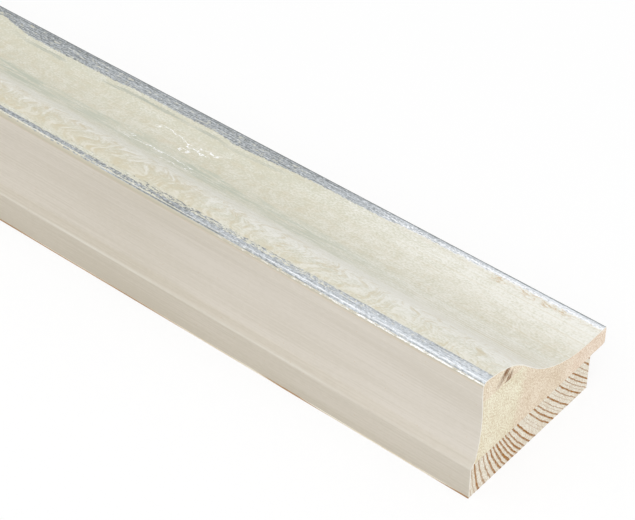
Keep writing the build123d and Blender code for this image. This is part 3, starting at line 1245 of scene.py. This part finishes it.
class MOULDING_OT_painted_coat(Operator):
    """Make the gesso coat with its paint and leaf."""

    bl_idname = "moulding.painted_coat"
    bl_label = "Painted Coat"

    def execute(self, context):
        section = context.scene.moulding_section
        finish = context.scene.moulding_finish
        outer_count, inner_count, stations = 180, 30, 400
        rim_count = outer_count + inner_count
        picked = np.round(np.linspace(0, outer_count - 1, inner_count)).astype(int)
        vertices, x, rim_distance = coat_points(section, outer_count, picked, stations)
        quads = sweep_rows(rim_count, stations)
        cap = coat_cap(outer_count, picked)
        triangles = np.concatenate([cap[:, ::-1], cap + (stations - 1) * rim_count])
        made = new_mesh_object("painted_coat", vertices, quads, triangles)
        nothing = np.zeros_like(x)
        sight_start, coverage, groove, dullness_and_shade, scuffed = wear_at(x)
        add_attribute(made, "unrolled", np.stack([x, rim_distance, nothing], axis=-1))
        add_attribute(made, "leaf_left", np.stack([sight_start, coverage, groove], axis=-1))
        add_attribute(made, "worn_and_shaded", np.stack([dullness_and_shade, scuffed, nothing], axis=-1))
        paint_with(made, painted_material(finish))
        paint_with(made, gesso_material(finish))
        first_corner = np.tile(np.arange(rim_count), stations - 1)
        bare = np.concatenate([first_corner >= outer_count - 1, np.ones(len(triangles), bool)])
        made.data.polygons.foreach_set("material_index", bare.astype(np.int32))
        dress(made, "gesso_coat")
        return {"FINISHED"}


def add_lamp(name, size, power, location, target):
    """A square area lamp that looks at a point."""
    data = bpy.data.lights.new(name, "AREA")
    data.shape = "SQUARE"
    data.size = size
    data.energy = power
    lamp = bpy.data.objects.new(name, data)
    lamp.location = location
    lamp.rotation_mode = "QUATERNION"
    lamp.rotation_quaternion = (Vector(target) - Vector(location)).to_track_quat("-Z", "Y")
    bpy.context.scene.collection.objects.link(lamp)


def studio_world(strength):
    """A plain pale world that the camera and reflections see as white."""
    world = bpy.data.worlds.new("Studio")
    world.use_nodes = True
    bpy.context.scene.world = world
    bench = NodeBench(world.node_tree)
    path = bench.signals(bench.new_node("ShaderNodeLightPath"))
    seen = path["Is Camera Ray"].at_least(path["Is Glossy Ray"]).at_least(path["Is Transmission Ray"])
    background = world.node_tree.nodes["Background"].inputs
    bench.plug(WHITE, background["Color"])
    bench.plug(bench.mix_values(seen, strength, 1.0), background["Strength"])


def floor_material():
    """White floor: mostly plain white to the camera, with a part that is lit and keeps the shadow."""
    material = bpy.data.materials.new("Studio floor")
    material.use_nodes = True
    tree = material.node_tree
    tree.nodes.clear()
    bench = NodeBench(tree)
    path = bench.signals(bench.new_node("ShaderNodeLightPath"))
    lit = bench.add("ShaderNodeBsdfDiffuse", {"Color": (0.92, 0.92, 0.92)})
    white = bench.add("ShaderNodeEmission", {"Color": WHITE, "Strength": 1.0})
    floor = bench.add("ShaderNodeMixShader", {0: path["Is Camera Ray"] * 0.8, 1: lit, 2: white})
    clear = bench.add("ShaderNodeBsdfTransparent")
    behind = bench.add("ShaderNodeNewGeometry", output="Backfacing")
    both = bench.add("ShaderNodeMixShader", {0: behind, 1: floor, 2: clear})
    bench.new_node("ShaderNodeOutputMaterial", {"Surface": both})
    return material


class MOULDING_OT_studio(Operator):
    """Make the floor, the lamps and the camera."""

    bl_idname = "moulding.studio"
    bl_label = "Studio"

    def execute(self, context):
        studio = context.scene.moulding_studio
        corner = Vector((STICK_END, OUTER_SIDE, 0.0))
        data = bpy.data.cameras.new("Camera")
        data.sensor_width = 36.0
        data.lens = studio.focal_pixels / PHOTO_WIDTH_PIXELS * data.sensor_width
        camera = bpy.data.objects.new("Camera", data)
        camera.location = corner + Vector(studio.camera_place)
        camera.rotation_euler = (studio.camera_pitch, studio.camera_roll, studio.camera_heading)
        context.scene.collection.objects.link(camera)
        context.scene.camera = camera
        half = 6.0
        corners = [(-half, -half, 0), (half, -half, 0), (half, half, 0), (-half, half, 0)]
        mesh = bpy.data.meshes.new("Floor")
        mesh.from_pydata(corners, [], [(0, 1, 2, 3)])
        floor = bpy.data.objects.new("Floor", mesh)
        mesh.materials.append(floor_material())
        context.scene.collection.objects.link(floor)
        middle = (0.3, 0.0, 0.0)
        add_lamp("Key lamp", 2.8, studio.key_power, (1.6, -0.9, 1.9), middle)
        add_lamp("Fill lamp", 2.4, studio.fill_power, (-1.3, -1.5, 1.3), middle)
        add_lamp("Top lamp", 3.0, studio.top_power, (0.0, 0.9, 2.2), middle)
        studio_world(studio.world_level)
        context.scene.view_settings.view_transform = "Standard"
        return {"FINISHED"}


class MOULDING_PT_panel(Panel):
    """Lists the pieces in the order they are made."""

    bl_idname = "MOULDING_PT_panel"
    bl_label = "Picture Frame Moulding"
    bl_space_type = "VIEW_3D"
    bl_region_type = "UI"
    bl_category = "Moulding"

    def draw(self, context):
        for maker in OPERATORS:
            self.layout.operator(maker.bl_idname)
        for name, group in SETTINGS.items():
            column = self.layout.column()
            for key in group.__annotations__:
                column.prop(getattr(context.scene, name), key)


OPERATORS = (
    MOULDING_OT_base_stave,
    MOULDING_OT_middle_stave,
    MOULDING_OT_top_stave,
    MOULDING_OT_painted_coat,
    MOULDING_OT_studio,
)
SETTINGS = {
    "moulding_section": MouldingSectionSettings,
    "moulding_wood": MouldingWoodSettings,
    "moulding_finish": MouldingFinishSettings,
    "moulding_studio": MouldingStudioSettings,
}


def register():
    """Makes the settings, the operators and the panel known."""
    for group in SETTINGS.values():
        bpy.utils.register_class(group)
    for name, group in SETTINGS.items():
        setattr(bpy.types.Scene, name, PointerProperty(type=group))
    for maker in (*OPERATORS, MOULDING_PT_panel):
        bpy.utils.register_class(maker)


def unregister():
    """Takes back what register() made known."""
    for maker in reversed((*OPERATORS, MOULDING_PT_panel)):
        bpy.utils.unregister_class(maker)
    for name, group in SETTINGS.items():
        delattr(bpy.types.Scene, name)
        bpy.utils.unregister_class(group)


def main():
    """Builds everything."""
    register()
    bpy.ops.moulding.base_stave()
    bpy.ops.moulding.middle_stave()
    bpy.ops.moulding.top_stave()
    bpy.ops.moulding.painted_coat()
    bpy.ops.moulding.studio()


if __name__ == "__main__":
    main()
